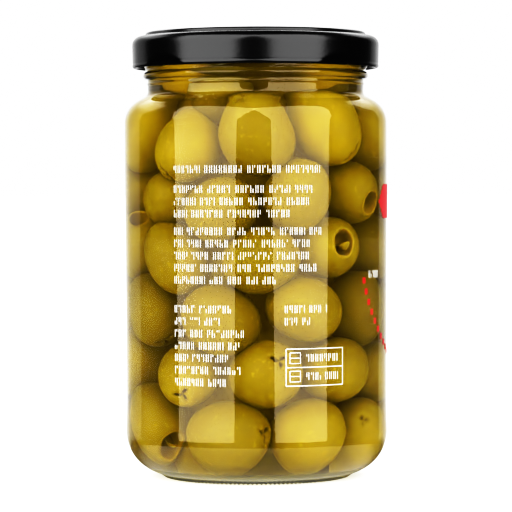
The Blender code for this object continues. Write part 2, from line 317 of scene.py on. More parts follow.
def neckLine():
    # The neck's upper fine line, its bead, and the finish up to the rim
    neck, finish, rim = jar["neckRadius"], jar["finishRadius"], jar["rimHeight"]
    ridge, curve = jar["ridges"][1], jar["rimCurve"]
    beadCurve = (jar["beadRadius"] - neck - 0.1, jar["beadHalfHeight"])
    return join(
        straight((neck, ridge - 0.7), (neck, ridge + 0.7), 10),
        arcPoints((neck + 0.1, jar["beadHeight"]), beadCurve, -90, 90, 14),
        straight((finish, jar["finishBase"]), (finish, rim - 1), 20),
        arcPoints((finish - curve, rim - curve), (curve, curve), 20, 90, 4),
    )


def innerLine(inset, fineness):
    # The inside, from the rim to the floor, moved into the glass by inset
    inner, bore = jar["bodyRadius"] - jar["wall"], jar["boreRadius"]
    curve = jar["innerHeelCurve"]
    heelCentre = (inner - curve[0], jar["floorHeight"] + curve[1])
    corner, fillet = jar["shoulderArc"] - jar["wall"] + inset, jar["boreFillet"] - inset
    return join(
        [(bore + jar["rimCurve"] + inset, jar["rimHeight"]), (bore + inset, jar["rimHeight"] - 1)],
        shoulderLine(inner + inset, corner, bore + inset, fillet, 4 * fineness)[::-1],
        arcPoints(heelCentre, (curve[0] + inset, curve[1] + inset), 0, -90, 6 * fineness),
        (10, jar["floorHeight"] - inset + jar["floorCrown"] * 0.8),
    )


def threadLift(azimuth, height):
    # Sloping ridges on the neck, fading at both ends
    along = ((azimuth - jar["threadStart"]) % (360 / jar["threads"])) / jar["threadSpan"]
    middle = jar["threadLow"] + jar["threadRise"] * along
    fade = np.clip(jar["threadFade"] * np.minimum(along, 1 - along), 0, 1)
    return jar["threadLift"] * fade * bell(height - middle, jar["threadWidth"])


def filmLift(azimuth, height):
    # A thin clear label film round most of the panel, put on a little askew
    turn = (azimuth - jar["filmStart"]) % 360
    span = jar["filmEnd"] - jar["filmStart"]
    askew = jar["filmAskew"] * smoothStep(turn, jar["filmAskewFrom"], jar["filmAskewTo"])
    bottom = jar["filmBottom"] + askew
    sideways = smoothStep(turn, 0, 1) * (1 - smoothStep(turn, span - 1, span))
    upright = smoothStep(height, bottom, bottom + jar["filmEdge"]) * (height < jar["filmTop"] + 0.05)
    return jar["filmLift"] * sideways * upright


def seamLift(azimuth, height):
    # The mould's two fine seams, up the body and the neck
    seams = sum(bell((azimuth - jar["seamAzimuth"] + side) % 360 - 180, jar["seamWidth"]) for side in (0, 180))
    return jar["seamLift"] * seams * (height < jar["seamTop"])


def makeJar(outside, inside, foot):
    # One closed skin, of which the outside, the inside and the knurled foot have their own finish
    outer, inner = join(footLine(), sideLine(), neckLine()), innerLine(0, 5)
    rings, azimuth, radius, height = turned(join(outer, inner), jar["sides"])
    isOuter = (np.arange(len(rings)) < len(outer))[:, None]
    ridge = sum(jar["ridgeLift"] * bell(height - at, jar["ridgeWidth"]) for at in jar["ridges"])
    lift = threadLift(azimuth, height) + filmLift(azimuth, height) + seamLift(azimuth, height) + ridge
    rings = pushOut(rings, lift * isOuter * (height > jar["plainBelow"]))
    onFoot = isOuter * (radius > jar["footInner"] - 1) * (height < jar["knurlReach"])
    knurl = 0.5 - 0.5 * np.cos(np.radians(azimuth * jar["knurls"]))
    rings[..., 2] += jar["knurlDepth"] * knurl * onFoot
    poles = [(0, 0, jar["pushUp"]), (0, 0, jar["floorHeight"] + jar["floorCrown"])]
    piece = makeSkin("jarGlass", rings, poles, outside, "glass", "glass_jar")
    piece.data.materials.append(inside)
    piece.data.materials.append(foot)
    faces = np.arange(len(piece.data.polygons))
    sides = jar["sides"]
    isOutside = faces < len(outer) * sides
    isOuterFan = (faces >= (len(rings) - 1) * sides) & (faces < len(rings) * sides)
    rows = np.minimum(faces // sides, len(rings) - 1)
    isLow = rings[rows, 0, 2] < jar["knurlTop"]
    isWet = ~isOutside & ~isOuterFan
    isKnurled = isOutside & isLow & (rows > jar["pushUpRows"])
    piece.data.polygons.foreach_set("material_index", isWet + 2 * isKnurled)


# Lid

lid = {
    "sides": 288, "top": 121.05, "radius": 33.65, "hem": 111.2, "panel": 30.0, "groove": 119.9, "corner": 2.4,
    "metal": 0.55, "curl": 1.3, "lugAzimuth": 42.6, "lugHalfWidth": 13.0, "lugPress": 1.1, "lugHeight": 2.6,
    "buttonRadius": 11.0, "buttonSlope": 2.5, "buttonDepth": 0.7,
}


def lidLine():
    corner = (lid["radius"] - lid["corner"], lid["groove"] - lid["corner"])
    inside = lid["radius"] - lid["metal"]
    half = lid["curl"] / 2
    liner = jar["rimHeight"] + gap
    share = np.linspace(0, 1, 9)
    button = np.stack([lid["buttonRadius"] + lid["buttonSlope"] * share,
                       lid["top"] - lid["buttonDepth"] * (1 - smoothStep(share, 0, 1))], -1)
    return join(
        (lid["buttonRadius"] - 2, lid["top"] - lid["buttonDepth"]),
        button,
        (lid["panel"] - 3, lid["top"]),
        arcPoints((lid["panel"] - 0.9, lid["top"] - 0.6), (0.9, 0.6), 90, 10, 6),
        arcPoints((lid["panel"] + 0.65, lid["groove"] + 0.2), (0.5, 0.25), 190, 290, 6),
        arcPoints(corner, (lid["corner"], lid["corner"]), 80, 0, 12),
        straight((lid["radius"], corner[1] - 0.4), (lid["radius"] - 0.12, lid["hem"] + lid["curl"] + 0.1), 14),
        arcPoints((lid["radius"] - half - 0.05, lid["hem"] + half), (half, half), 40, -180, 12),
        [(inside - 0.6, lid["hem"] + lid["curl"]), (inside, lid["hem"] + lid["lugHeight"])],
        [(inside, corner[1]), (lid["panel"] + 1.2, lid["groove"] - 0.7), (lid["panel"] + 0.6, liner)],
        [(jar["boreRadius"], liner), (jar["boreRadius"] - 0.6, lid["top"] - lid["metal"])],
        (button - (0, lid["metal"]))[::-1],
    )


def makeLid(finish):
    rings, azimuth, radius, height = turned(lidLine(), lid["sides"])
    off = (azimuth - lid["lugAzimuth"] + 180 / jar["threads"]) % (360 / jar["threads"]) - 180 / jar["threads"]
    across = np.clip(1 - (off / lid["lugHalfWidth"]) ** 2, 0, None)
    above = (height - lid["hem"]) / lid["lugHeight"]
    press = lid["lugPress"] * across * (1 - smoothStep(above, 0, across * 1.3 + 0.01))
    rings = pushOut(rings, -press * (radius > jar["boreRadius"] + 1))
    middle = lid["top"] - lid["buttonDepth"]
    poles = [(0, 0, middle), (0, 0, middle - lid["metal"])]
    makeSkin("lidShell", rings, poles, finish, "lid_lacquer", "lid")


# Olives

# Placed from the label side: azimuth, height, how far it stands off the glass, half length, half width,
# lean of its long axis clockwise from upright, its tip outwards, what its upper end has, and how pale it is
shownOlives = [
    (-42.5, 88.6, 0.0, 9.7, 8.4, -162, 38, "crease", 0.8),
    (1.0, 92.9, 0.0, 10.6, 9.2, -24, 22, "pit", 0.5),
    (46.0, 94.6, 1.2, 10.5, 8.8, 152, 42, "crease", 1.0),
    (-84.0, 91.5, 0.0, 9.8, 8.6, 40, -7, "plain", 1.0),
    (86.0, 92.5, 0.0, 9.7, 8.6, 0, 0, "dimple", 0.7),
    (-54.0, 75.8, 1.5, 9.6, 7.6, 75, 50, "plain", 0.5),
    (-21.0, 72.6, 0.0, 9.5, 8.5, 60, 0, "star", 0.25),
    (24.0, 77.2, 0.0, 10.0, 8.4, 15, 0, "star", 0.35),
    (63.0, 77.2, 0.0, 9.8, 8.3, 175, 72, "hole", 0.5),
    (46.0, 63.4, 0.0, 9.8, 8.2, -43, 78, "torn", 0.5),
    (3.0, 59.0, 0.0, 10.0, 8.8, 65, 0, "star", 0.25),
    (-52.0, 60.9, 0.0, 10.6, 8.0, -35, 0, "dimple", 0.4),
    (-30.0, 55.5, 9.0, 9.4, 7.8, 10, 0, "star", 0.4),
    (-75.0, 45.7, 0.0, 10.5, 8.6, 146, -4, "star", 0.2),
    (-20.5, 44.2, 0.0, 10.3, 9.2, -50, 0, "dimple", 0.15),
    (5.0, 30.2, 0.0, 9.8, 9.0, 35, 58, "star", 0.3),
    (27.0, 47.6, 0.0, 10.0, 8.5, -68, 0, "dimple", 0.3),
    (71.0, 46.4, 0.0, 10.5, 8.6, 0, 0, "dimple", 0.0),
    (52.5, 30.2, 0.0, 9.8, 8.7, 80, 0, "crease", 0.3),
    (-43.0, 28.7, 0.0, 9.4, 7.9, 146, 50, "star", 0.35),
    (-94.0, 31.0, 0.0, 10.0, 8.6, 20, 0, "dimple", 0.5),
    (-70.5, 17.0, 0.0, 10.6, 8.6, 128, 0, "torn", 0.3),
    (-47.0, 9.6, 9.0, 8.0, 6.6, 60, 0, "dimple", 0.4),
    (-19.0, 13.2, 0.0, 11.0, 8.9, 87, 14, "star", 0.1),
    (32.5, 14.3, 0.0, 9.9, 8.8, 73, 18, "crease", 0.35),
    (73.0, 13.8, 0.0, 9.8, 8.6, -68, 38, "pit", 0.5),
    (-26.0, 101.5, 6.0, 8.6, 7.6, 60, 0, "plain", 0.5),
    (160.0, 12.6, 24.0, 9.8, 8.6, 90, 0, "star", 0.0),
]
heap = {
    "fill": 114.5, "loose": 26, "seed": 4, "startRadius": 23.7, "startBottom": 7.0, "startTop": 8.0,
    "rounds": 300, "springBack": 0.35, "wallStep": 1.5, "lengths": (9.5, 10.7), "widths": (8.2, 9.2),
    "keepOut": 21.0, "keepOutTop": 94.0, "shownSides": 72, "looseSides": 48, "shownSteps": 44, "looseSteps": 30,
    "lookSeed": 11, "fullness": 2.03, "taper": 0.02, "lumps": 0.012, "lumpWaves": 4, "lumpSize": 0.16,
    "crowding": 0.06, "paleStep": 0.618,
}


def outwardAndRight(azimuth):
    # The level unit vectors away from the axis and to the right as seen from outside
    flat = np.zeros_like(azimuth)
    outward = np.stack([np.sin(azimuth), -np.cos(azimuth), flat], -1)
    return outward, np.stack([np.cos(azimuth), np.sin(azimuth), flat], -1)


def reach(axis, length, width, direction):
    # How far an olive reaches from its centre towards a direction
    along = (axis * direction).sum(-1)
    return np.sqrt((length * along) ** 2 + width**2 * (1 - along**2))


def freeSpace():
    # Points all along the inside of the jar and under the fill level, as radius and height
    floor = (0, jar["floorHeight"] + jar["floorCrown"])
    line = join((0, heap["fill"]), (jar["boreRadius"], heap["fill"]), innerLine(0, 1)[2:], floor)
    along = np.concatenate([[0], np.hypot(*np.diff(line, axis=0).T).cumsum()])
    at = np.arange(0, along[-1], heap["wallStep"])
    return np.stack([np.interp(at, along, line[:, 0]), np.interp(at, along, line[:, 1])], -1)


def placedOlives():
    # Centres, axes, half lengths and half widths of the listed olives
    rows = np.array([row[:7] for row in shownOlives])
    outward, right = outwardAndRight(np.radians(rows[:, 0]))
    lean, tip = np.radians(rows[:, 5:6]), np.radians(rows[:, 6:7])
    axis = np.cos(tip) * (np.cos(lean) * up + np.sin(lean) * right) + np.sin(tip) * outward
    length, width = rows[:, 3], rows[:, 4]
    fromAxis = jar["bodyRadius"] - jar["wall"] - gap - rows[:, 2] - reach(axis, length, width, outward)
    return outward * fromAxis[:, None] + up * rows[:, 1:2], axis, length, width


def looseOlives():
    # The rest start spread up the far side of the jar, turned at random
    draw = np.random.default_rng(heap["seed"])
    count = heap["loose"]
    azimuth = draw.uniform(math.pi / 2, math.pi * 3 / 2, count)
    height = np.linspace(jar["floorHeight"] + heap["startBottom"], heap["fill"] - heap["startTop"], count)
    axis = draw.normal(size=(count, 3))
    axis /= np.linalg.norm(axis, axis=-1, keepdims=True)
    length = draw.uniform(*heap["lengths"], count)
    width = draw.uniform(*heap["widths"], count)
    return outwardAndRight(azimuth)[0] * heap["startRadius"] + up * height[:, None], axis, length, width


def settledOlives():
    # All olives, pushed apart and in from the glass until they about touch, while the placed ones spring back
    centre, axis, length, width = (np.concatenate(pair) for pair in zip(placedOlives(), looseOlives()))
    wall = freeSpace()
    placed = np.arange(len(centre)) < len(shownOlives)
    target = centre.copy()
    each = np.arange(len(centre))
    for _ in range(heap["rounds"]):
        away = centre[:, None] - centre[None]
        apart = np.linalg.norm(away, axis=-1) + np.eye(len(centre)) * jar["bodyRadius"] * 10
        away /= apart[..., None]
        touch = reach(axis[:, None], length[:, None], width[:, None], away)
        overlap = np.clip(touch + touch.T - apart, 0, None)
        centre = centre + 0.5 * (away * overlap[..., None]).sum(1)
        centre += heap["springBack"] * (target - centre) * placed[:, None]
        fromAxis = np.hypot(centre[:, 0], centre[:, 1])
        outward = centre * (1, 1, 0) / fromAxis[:, None]
        besideCore = ~placed & (centre[:, 2] < heap["keepOutTop"])
        centre += outward * (np.clip(heap["keepOut"] - fromAxis, 0, None) * besideCore)[:, None]
        across = wall[None, :, 0] - fromAxis[:, None]
        rise = wall[None, :, 1] - centre[:, 2:]
        distance = np.hypot(across, rise)
        towards = outward[:, None] * (across / distance)[..., None] + up * (rise / distance)[..., None]
        short = reach(axis[:, None], length[:, None], width[:, None], towards) + gap - distance
        worst = short.argmax(1)
        centre -= towards[each, worst] * np.clip(short[each, worst], 0, None)[:, None]
    return centre, axis, length, width


# What the ends of a pitted olive look like: arms of a cut as angle and length, their depth, and how deep the end
# is drawn in, or a hole's radius, depth and raggedness
ends = {
    "plain": {"arms": [], "depth": 0.0, "draw": 0.0},
    "dimple": {"arms": [(20, 1.2), (160, 1.0), (265, 1.1)], "depth": 0.8, "draw": 0.35},
    "pit": {"arms": [(0, 1.4), (120, 1.2), (240, 1.3)], "depth": 1.6, "draw": 0.3},
    "star": {"arms": [(10, 3.0), (130, 2.4), (235, 2.7)], "depth": 1.3, "draw": 0.5},
    "crease": {"arms": [(0, 4.2), (168, 3.4), (80, 1.6)], "depth": 1.1, "draw": 0.3},
    "hole": {"radius": 3.3, "inside": 7.0, "ragged": 0.03},
    "torn": {"radius": 3.4, "inside": 6.0, "ragged": 0.1},
}
cutEdge = {
    "width": 0.52, "wobble": 0.25, "wobbleTurns": 1.7, "fadeFrom": 0.6,
    "lipLift": 0.1, "lipOff": 0.75, "lipWidth": 0.4, "lipFadeFrom": 0.5, "lipFadeTo": 1.2, "drawWidth": 1.6,
    "holeSteps": 16, "holeNarrowing": 0.28, "holeWaves": 0.1, "holeCut": 0.55, "raggedWidth": 1.2,
}
flap = {
    "length": 3.0, "width": 1.3, "sides": 24, "flatness": 0.45, "bend": 0.16, "drop": 1.6, "cut": 0.25,
    "place": (0.8, -0.8, -1.2),
}


def holeLine(kind, length, lipTurn):
    # The inside of a pit hole, from its lip down, as radius, height and how much it is cut flesh
    depth = np.linspace(0, 1, cutEdge["holeSteps"])
    narrowing = 1 - cutEdge["holeNarrowing"] * np.sin(depth * math.pi / 2)
    radius = kind["radius"] * narrowing * np.sqrt(1.0001 - depth**6)
    lip = length * math.cos(math.pi - lipTurn) + cutEdge["holeWaves"] * np.sin(depth * 9)
    flesh = cutEdge["holeCut"] + (1 - cutEdge["holeCut"]) * smoothStep(depth, 0, 0.5)
    return radius, lip - kind["inside"] * depth, flesh


def raggedLip(kind, radius, height, around, draw):
    # The radii, wavy near the lip of the hole
    waves = np.sin(2 * around + draw.uniform(0, 6)) + 0.3 * np.sin(5 * around + draw.uniform(0, 6))
    near = bell(radius - kind["radius"], cutEdge["raggedWidth"]) * (height > 0)
    return radius * (1 + kind["ragged"] * waves * near)


def cutArms(kind, radius, height, around, draw):
    # Gives the heights with the upper end drawn in and slits with raised lips cut into it, and where a slit is
    spin = draw.uniform(0, 360)
    isUpper = height > 0
    slit = np.zeros_like(height)
    for angle, armLength in kind["arms"]:
        off = around - math.radians(angle + spin)
        wobble = cutEdge["wobble"] * np.sin(radius * cutEdge["wobbleTurns"] + angle)
        across, along = radius * np.sin(off) + wobble, radius * np.cos(off)
        ending = 1 - smoothStep(radius, cutEdge["fadeFrom"] * armLength, armLength)
        groove = bell(across, cutEdge["width"]) * (along > -0.1) * ending * isUpper
        slit = np.minimum(slit, -groove)
        lips = bell(np.abs(across) - cutEdge["lipOff"], cutEdge["lipWidth"]) * (along > 0) * isUpper
        fading = smoothStep(radius, cutEdge["lipFadeFrom"] * armLength, armLength * cutEdge["lipFadeTo"])
        height = height - kind["depth"] * groove + cutEdge["lipLift"] * lips * (1 - fading)
    return height - kind["draw"] * bell(radius, cutEdge["drawWidth"]) * isUpper, slit


def oliveRings(length, width, end, sides, draw):
    # A full ellipse turned about +Z, narrower towards its upper end, with lumps and that end's cut or hole.
    # Also gives how much each point is cut flesh, up to 1, or how much it lies in a slit, down to -1.
    kind = ends[end]
    isHoled = "radius" in kind
    around = np.radians(np.linspace(0, 360, sides, endpoint=False))
    power = 2 / heap["fullness"]
    share = np.linspace(0, 1, heap["shownSteps"] if sides == heap["shownSides"] else heap["looseSteps"])
    bend = np.sin(2 * np.pi * share) * heap["crowding"]
    turn = (np.pi * (share + bend * (0.4 + share)))[1:-1]
    if isHoled:
        lipTurn = math.pi - math.asin(min(1, kind["radius"] / width))
        turn = turn[turn < lipTurn - 0.04]
    radius = width * np.sin(turn) ** power * (1 + heap["taper"] * np.cos(turn))
    height = -length * np.sign(np.cos(turn)) * np.abs(np.cos(turn)) ** power
    line = (radius, height, np.zeros_like(turn))
    if isHoled:
        line = [np.concatenate(pair) for pair in zip(line, holeLine(kind, length, lipTurn))]
    radius, height, cut = (part[:, None] + 0 * around for part in line)
    if isHoled:
        radius = raggedLip(kind, radius, height, around, draw)
    else:
        height, cut = cutArms(kind, radius, height, around, draw)
    points = np.stack([radius * np.cos(around), radius * np.sin(around), height], -1)
    waveAxes = draw.normal(size=(heap["lumpWaves"], 3)) * heap["lumpSize"]
    waves = np.sin(points @ waveAxes.T + draw.uniform(0, 6, heap["lumpWaves"])).mean(-1)
    points *= (1 + heap["lumps"] * (waves - 0.6))[..., None]
    poleHeight = points[-1, :, 2].mean() - (0.3 if isHoled else 0.0)
    poles = [(0, 0, points[0, :, 2].mean() - 0.06), (0, 0, poleHeight)]
    return points, np.array(poles), cut


def flapRings(draw):
    # A small curled tongue of flesh: a flat narrow ellipsoid, bent
    points, poles, cut = oliveRings(flap["length"], flap["width"], "plain", flap["sides"], draw)
    for place in (points, poles):
        place[..., 1] *= flap["flatness"]
        place[..., 1] += flap["bend"] * place[..., 2] ** 2
        place[..., 2] -= flap["drop"]
    return points, poles, np.full_like(cut, flap["cut"])


def makeOlives(name, centre, axis, length, width, kinds, pale, sides, finish, seed):
    draw = np.random.default_rng(seed)
    points, faces, cuts, tints = [], [], [], []
    start = 0
    for each in range(len(centre)):
        turn = np.array(Vector((0, 0, 1)).rotation_difference(Vector(axis[each])).to_matrix())
        shapes = [oliveRings(length[each], width[each], kinds[each], sides, draw)]
        if kinds[each] == "torn":
            tongue, tonguePoles, tongueCut = flapRings(draw)
            place = np.array(flap["place"]) + length[each] * up
            shapes.append((tongue + place, tonguePoles + place, tongueCut))
        for rings, poles, cut in shapes:
            rows, around = rings.shape[:2]
            local = np.concatenate([rings.reshape(-1, 3), poles])
            points.append(local @ turn.T + centre[each])
            faces += skinFaces(rows, around, start)
            start += len(local)
            cuts.append(np.concatenate([cut.ravel(), cut[[0, -1]].mean(1)]))
            tints.append(np.full(len(local), pale[each]))
    piece = makePiece(name, np.concatenate(points), faces, finish, "olive", "olives")
    for attribute, values in (("cut", cuts), ("tint", tints)):
        layer = piece.data.attributes.new(attribute, "FLOAT", "POINT")
        layer.data.foreach_set("value", np.concatenate(values).astype(np.float32))


oliveLook = {
    "dark": (0.11, 0.078, 0.0025), "pale": (0.25, 0.178, 0.0045),
    "patch": (0.12, 0.08, 0.0026), "patches": 0.35, "freckle": (0.33, 0.245, 0.024), "freckles": 0.35,
    # The slit colour is painted shade in the olives' slits
    "flesh": (0.24, 0.16, 0.02), "slit": (0.03, 0.016, 0.003), "pores": 0.04, "relief": 0.0004,
}


def oliveFinish():
    # Each olive has a paleness, its own tone and for some placed olives also painted light and shade, under
    # patches and freckles, with flesh in its hole and painted shade in its slits
    material, shading = newMaterial("oliveSkin")
    cut, tint = shading.attribute("cut"), shading.attribute("tint")
    patches = shading.noise(90, 3).step(0.35, 0.68)
    freckles = shading.noise(700).step(0.6, 0.75)
    # The paleness is each olive's own tone, and for some placed olives also painted light and shade
    skin = shading.mix(tint, oliveLook["dark"], oliveLook["pale"])
    skin = shading.mix(patches * oliveLook["patches"], skin, oliveLook["patch"])
    skin = shading.mix(freckles * oliveLook["freckles"], skin, oliveLook["freckle"])
    skin = shading.mix(cut.step(0.1, 0.8), skin, oliveLook["flesh"])
    # Painted shade in the slits
    skin = shading.mix((0.0 - cut).step(0.25, 0.7), skin, oliveLook["slit"])
    relief = shading.noise(1500) * oliveLook["pores"] + shading.noise(160, 3)
    shading.finish(shading.node("BsdfPrincipled", {}, {
        "Base Color": skin, "Roughness": 0.42, "Specular IOR Level": 0.12,
        "Normal": shading.bump(relief, oliveLook["relief"]),
        "Subsurface Weight": 0.4, "Subsurface Radius": (1.0, 0.7, 0.06), "Subsurface Scale": 0.003,
    }))
    return material


# The plain core behind the olives

core = {
    "radius": 16.5, "bottom": 7.0, "corner": 5.0, "shoulder": 103.0, "neckRadius": 22.0, "neck": 107.0,
    "top": 113.0, "lumps": 1.6, "sides": 64,
    # The core's mottled colours, painted shade for its bottom, and for its top painted shade in the middle and
    # painted light at the sides
    "dark": (0.22, 0.15, 0.01), "pale": (0.37, 0.25, 0.015), "floorShade": (0.06, 0.045, 0.012),
    "topMiddleShade": (0.11, 0.07, 0.006), "topSidesLight": (0.5, 0.33, 0.026),
}


def coreFinish():
    # Mottled, with painted shade at the bottom, and at the top painted shade in the middle and painted light at
    # the sides
    material, shading = newMaterial("heapShade")
    side, _, height = shading.along()
    beside = side.math("ABSOLUTE", side).step(0.008, 0.018)
    top = shading.mix(beside, core["topMiddleShade"], core["topSidesLight"])
    shade = shading.mix(shading.noise(60), core["dark"], core["pale"])
    # Painted shade in the middle of the top, under the lid, and painted light at its sides
    shade = shading.mix(height.step(0.099, 0.104), shade, top)
    # Painted shade towards the bottom
    shade = shading.mix(height.step(0.022, 0.012), shade, core["floorShade"])
    shading.finish(shading.node("BsdfPrincipled", {}, {
        "Base Color": shade, "Roughness": 0.6, "Specular IOR Level": 0.1,
    }))
    return material


def makeCore():
    corner = core["corner"]
    line = join(
        (6, core["bottom"]),
        arcPoints((core["radius"] - corner, core["bottom"] + corner), (corner, corner), -90, 0, 6),
        straight((core["radius"], core["bottom"] + 7), (core["radius"], core["shoulder"]), 50),
        straight((core["neckRadius"], core["neck"]), (core["neckRadius"], core["top"] - 1), 6),
        (core["neckRadius"] - 2, core["top"]),
    )
    rings, azimuth, _, height = turned(line, core["sides"])
    lumps = np.sin(np.radians(azimuth * 3) + height * 0.21) * np.cos(height * 0.33 + 1) * core["lumps"]
    rings = pushOut(rings, lumps)
    makeSkin("heapCore", rings, [(0, 0, core["bottom"]), (0, 0, core["top"])], coreFinish(), "olive", "olives")


# Brine

brine = {
    "inset": 0.45, "dip": 0.3, "sides": 180, "tint": (0.99, 0.98, 0.94), "ior": 1.34, "roughness": 0.0,
    "soaked": (10.0, 15.0, 110.0), "cloud": (1.0, 0.66, 0.05), "cloudDensity": 10.0,
}


def makeBrine(finish):
    # Fills the jar up to the lid and reaches just into the wall
    inset, surface = brine["inset"], heap["fill"] - brine["dip"]
    top = [(jar["boreRadius"] + inset, heap["fill"]), (jar["boreRadius"] - 2, surface)]
    rings = turned(join(innerLine(inset, 5)[2:][::-1], top), brine["sides"])[0]
    poles = [(0, 0, jar["floorHeight"] + jar["floorCrown"] - inset), (0, 0, surface)]
    makeSkin("brine", rings, poles, finish, "brine")


# Print on the glass: plain strokes, frames and two red shapes, with no lettering

# A row of strokes is its height and its span in degrees, after its left azimuth where it has its own
printing = {
    "white": (0.5, 0.5, 0.49), "red": (0.4, 0.006, 0.012), "thickness": 0.05, "off": 0.08, "seed": 5,
    "rowHeight": 2.0, "strokes": (0.17, 0.23), "spaces": (0.36, 0.55), "group": (5, 17), "groupGap": 1.0,
    "left": -37.0,
    "rows": [(83.6, 66), (78.4, 62), (75.2, 60), (72.0, 52), (67.4, 66), (64.2, 60), (61.0, 62), (57.8, 64),
             (54.6, 46), (47.0, 27), (43.8, 23), (40.6, 34), (37.4, 30), (34.2, 25), (31.0, 31), (27.8, 24)],
    "short": [(12.0, 47.0, 20), (12.0, 43.8, 12)], "side": (57, 55.6, 10),
    "frame": (12.5, 39.5, 26.9, 36.6), "frameLine": 0.24, "frameTiles": 16, "framed": (21.5, 16),
    "squares": (14.2, 18.8), "squareHalf": 1.4, "squareLine": 0.2, "squareHeights": (29.4, 34.2),
    "arc": (98.0, 62.0), "arcRadius": 29.0, "arcTurns": (196, 344, 6.2), "dash": (1.0, 0.8),
    "banner": (98.0, 75), "bannerHalf": (31, 4.6), "bannerTiles": 40, "bannerTaper": 5,
}
degreesAcross = math.degrees(1 / jar["bodyRadius"])


def printPatches(name, patches, finish, slot):
    # Thin closed tiles that lie on the glass, each between two azimuths and two heights
    low, high, bottom, top = np.array(patches, float).T
    corners = []
    for off in (printing["off"], printing["off"] + printing["thickness"]):
        for azimuth, height in ((low, bottom), (high, bottom), (high, top), (low, top)):
            radius = off + np.interp(height, [jar["panelBottom"], jar["panelTop"]],
                                     [jar["panelRadius"], jar["bodyRadius"]])
            turn = np.radians(azimuth)
            corners.append(np.stack([radius * np.sin(turn), -radius * np.cos(turn), height], -1))
    points = np.stack(corners, 1).reshape(-1, 3)
    box = np.array([(3, 2, 1, 0), (4, 5, 6, 7), (0, 1, 5, 4), (1, 2, 6, 5), (2, 3, 7, 6), (3, 0, 4, 7)])
    faces = (np.arange(len(low))[:, None, None] * 8 + box).reshape(-1, 4).tolist()
    makePiece(name, points, faces, finish, slot, smooth=False)


def rowOfBlocks(left, middle, span, draw):
    # A row of small upright strokes in groups, as print looks from far away, most of them full
    half = printing["rowHeight"] / 2
    strokeParts = [(-1, 1)] * 7 + [(-1, 0.1), (-0.2, 1), (0.4, 1)]
    blocks, at = [], left
    while at < left + span:
        for each in range(draw.integers(*printing["group"])):
            wide = draw.uniform(*printing["strokes"]) * degreesAcross
            low, high = draw.choice(strokeParts)
            blocks.append((at, at + wide, middle + half * low, middle + half * high))
            at += wide + printing["spaces"][each % 2] * degreesAcross
        at += printing["groupGap"] * degreesAcross
    return [block for block in blocks if block[1] < left + span]


def frameBlocks(left, right, bottom, top, line):
    # The outline of a frame and its middle bar in short tiles
    half = degreesAcross * line / 2
    turns = np.linspace(left, right, printing["frameTiles"])
    blocks = []
    for edge in (bottom, (bottom + top) / 2, top):
        blocks += [(low, high, edge - line / 2, edge + line / 2) for low, high in zip(turns, turns[1:])]
    for turn in (left, right):
        blocks.append((turn - half, turn + half, bottom, top))
    return blocks


def whitePrint():
    draw = np.random.default_rng(printing["seed"])
    blocks = []
    for middle, span in printing["rows"]:
        blocks += rowOfBlocks(printing["left"], middle, span, draw)
    for left, middle, span in printing["short"]:
        blocks += rowOfBlocks(left, middle, span, draw)
    blocks += frameBlocks(*printing["frame"], printing["frameLine"])
    left, span = printing["framed"]
    half = printing["squareHalf"]
    for middle in printing["squareHeights"]:
        blocks += rowOfBlocks(left, middle, span, draw)
        blocks += frameBlocks(*printing["squares"], middle - half, middle + half, printing["squareLine"])
    return blocks + rowOfBlocks(*printing["side"], draw)


def redPrint():
    # An arc of dashes under a banner with tapered ends
    blocks = []
    reachOut, (wide, tall) = printing["arcRadius"], printing["dash"]
    for turn in np.radians(np.arange(*printing["arcTurns"])):
        azimuth = printing["arc"][0] + reachOut * degreesAcross * math.cos(turn)
        height = printing["arc"][1] + reachOut * math.sin(turn)
        blocks.append((azimuth - wide, azimuth + wide, height - tall, height + tall))
    middle, height = printing["banner"]
    halfSpan, halfHeight = printing["bannerHalf"]
    share = np.linspace(-1, 1, printing["bannerTiles"])
    for low, high in zip(share, share[1:]):
        tall = halfHeight * min(1, printing["bannerTaper"] * (1 - abs(low + high) / 2))
        blocks.append((middle + halfSpan * low, middle + halfSpan * high, height - tall, height + tall))
    return blocks


def printFinish(name, colour):
    material, shading = newMaterial(name)
    worn = shading.noise(2500).step(0.3, 0.5)
    tone = shading.mix(worn, tuple(0.75 * part for part in colour), colour)
    shading.finish(shading.node("BsdfPrincipled", {}, {"Base Color": tone, "Roughness": 0.45}))
    return material


def lidFinish():
    # Glossy black with a little orange peel
    material, shading = newMaterial("lidLacquer")
    shading.finish(shading.node("BsdfPrincipled", {}, {
        "Base Color": (0.001, 0.001, 0.0011), "Roughness": 0.17 + 0.08 * shading.noise(60, 3), "IOR": 1.46,
        "Normal": shading.bump(shading.noise(900), 0.00003),
    }))
    return material


# Studio

# The camera is in millimetres, degrees and pixels of the photo
view = {
    "distance": 742.0, "eyeHeight": 79.4, "aimHeight": 60.04, "aimSide": -0.05, "roll": -0.2,
    "focalPixels": 2715.0, "imagePixels": 512, "sensor": 36.0,
}
# Lamps and floor are in metres and watts. A softbox is its azimuth and width.
studio = {
    "boxNear": 1.0, "boxFoot": -0.15, "boxTop": 0.85, "boxTopNear": 0.44, "boxGlow": 16.8,
    "leftBox": (-45.0, 0.93), "rightBox": (39.2, 0.84),
    "bounceHalf": 0.14, "bounceStrength": 0.6, "bounceDrop": 0.004,
    "contrast": [(0.05, 0.016), (0.14, 0.085), (0.24, 0.24), (0.36, 0.45), (0.49, 0.67), (0.7, 0.89)],
}
# The white behind the jar: its edges left, right and at the top in degrees, its strengths, and its soft edges
back = {
    "left": 57.0, "right": 42.5, "top": 42.0, "dim": 38.0, "dimShare": 0.6, "dark": 0.04, "white": 1.0,
    "high": 3.0, "highFrom": 0.3, "highTo": 0.52, "spread": 0.12, "lowFrom": -0.24, "lowTo": -0.1, "soft": 0.03,
}
